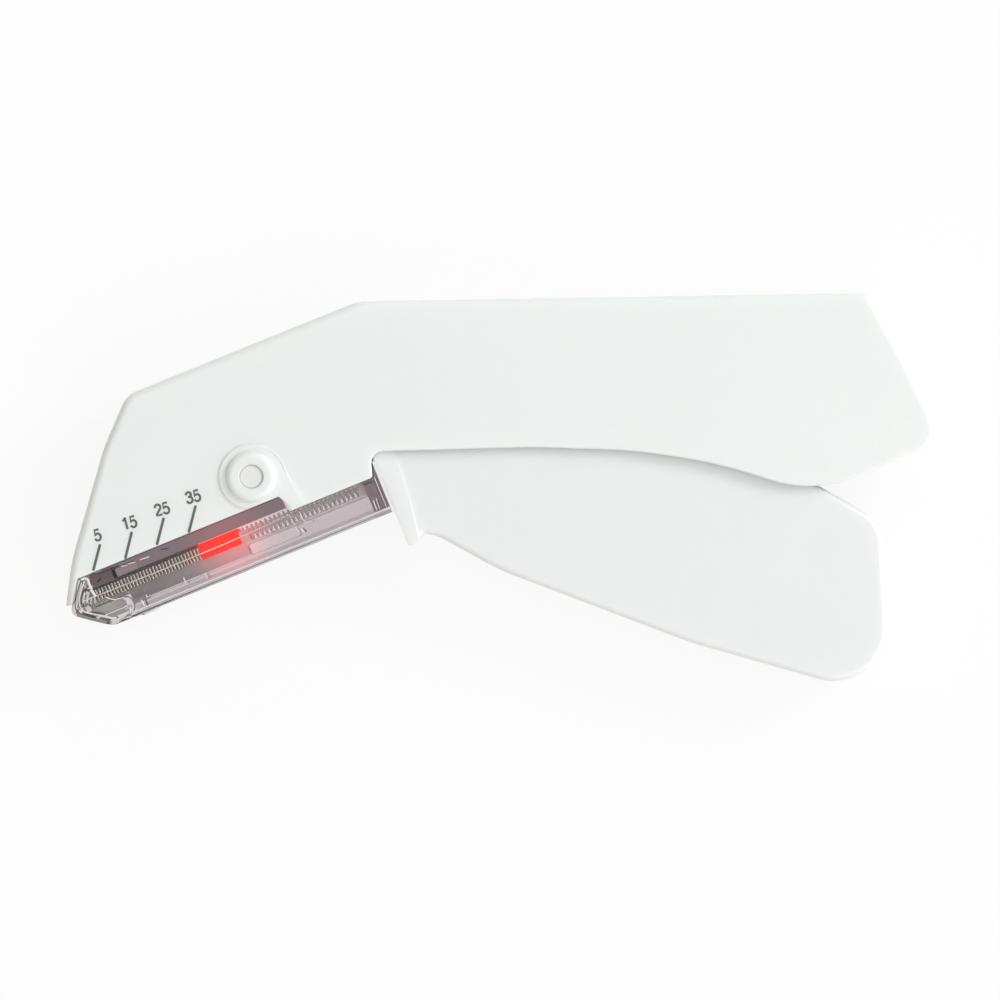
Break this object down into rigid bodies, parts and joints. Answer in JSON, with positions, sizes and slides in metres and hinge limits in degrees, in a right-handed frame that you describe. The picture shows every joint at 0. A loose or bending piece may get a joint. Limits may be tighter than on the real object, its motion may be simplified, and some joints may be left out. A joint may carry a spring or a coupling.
{
  "type": "skin stapler",
  "caption": "Disposable wide skin stapler with a white two-part body, a squeeze handle and a clear staple cartridge under the nose.",
  "frame": {"origin": "centre of the bounding box's base, on the plane of the right side's flat outer face", "axes": "+X runs from the nose to the heel of the grip, +Y from the squeeze handle to the back of the body, +Z from the right side to the left side, through the thickness"},
  "size_m": [0.1522, 0.0679, 0.0205],
  "materials": {
    "white_plastic": "satin moulded",
    "handle_plastic": "satin moulded",
    "pin_plastic": "satin",
    "carrier_plastic": "matt moulded",
    "clear_plastic": "clear, slightly smoky",
    "red_plastic": "satin",
    "sheet_steel": "rolled sheet",
    "spring_steel": "drawn wire",
    "staple_steel": "drawn wire"
  },
  "bodies": {
    "housing": {"left_housing": "white_plastic", "right_housing": "white_plastic", "trigger_pivot_pin": "pin_plastic", "cartridge_body": "clear_plastic", "cartridge_base": "clear_plastic", "nose_guide": "clear_plastic", "cartridge_end_plug": "clear_plastic", "anvil": "sheet_steel", "staple_track": "sheet_steel", "staple_stack": "staple_steel", "front_staple": "staple_steel", "spring_guide_rod": "spring_steel", "ejector_spring": "spring_steel", "return_spring": "spring_steel", "follower_spring": "spring_steel"},
    "trigger_body": {"trigger": "handle_plastic"},
    "former_body": {"former": "sheet_steel", "former_carrier": "carrier_plastic"},
    "follower_body": {"follower": "red_plastic"}
  },
  "joints": [
    {"name": "trigger_squeeze", "type": "hinge", "parent": "housing", "child": "trigger_body", "pos_m": [-0.0437, 0.00193, 0.0095], "axis": [0, 0, 1], "range_deg": [0, 12.5], "stiffness_Nm_per_rad": 0.3, "springref_deg": -20.05, "deforming": ["return_spring"]},
    {"name": "former_slide", "type": "slide", "parent": "housing", "child": "former_body", "axis": [-0.2504, -0.9681, 0], "range_m": [0, 0.0049], "deforming": ["front_staple"]},
    {"name": "follower_slide", "type": "slide", "parent": "housing", "child": "follower_body", "axis": [0.9259, 0.3778, 0], "range_m": [0, 0.009], "stiffness_N_per_m": 20, "springref_m": -0.03, "deforming": ["follower_spring"]}
  ],
  "couplings": [
    {"joint": "former_slide", "follows": "trigger_squeeze", "m_per_rad": 0.0223}
  ]
}
